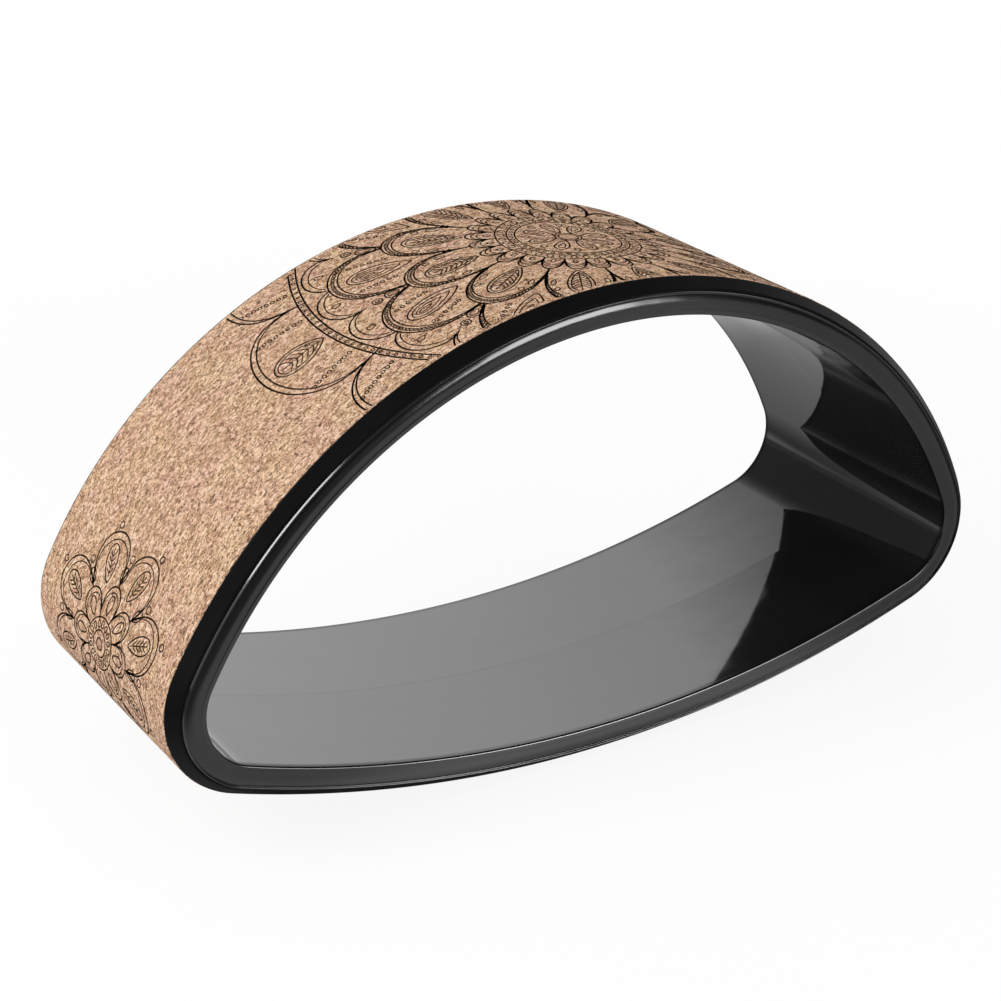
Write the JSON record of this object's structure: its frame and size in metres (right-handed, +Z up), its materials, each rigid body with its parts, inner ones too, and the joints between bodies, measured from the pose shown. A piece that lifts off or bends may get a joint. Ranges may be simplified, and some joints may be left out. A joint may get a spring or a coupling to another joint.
{
  "type": "yoga wheel",
  "caption": "Half-moon yoga wheel: a D-shaped moulded hoop with a foam pad round it and a printed cork cover, for lying and stretching over.",
  "frame": {"origin": "under the middle of the curved base, halfway across the width", "axes": "+X along the wheel's length, +Y across its width from front to rear, +Z up from base to crown"},
  "size_m": [0.4052, 0.13, 0.211],
  "materials": {
    "hoop_plastic": "black moulded plastic, glossy in the opening and satin on the rims",
    "pad_foam": "black closed-cell foam with a smooth matt skin",
    "cork": "agglomerated cork, matt, with printed line ornaments"
  },
  "bodies": {
    "root": {"hoop_front_half": "hoop_plastic", "hoop_rear_half": "hoop_plastic", "cushion_pad": "pad_foam", "cork_cover": "cork"}
  },
  "joints": []
}
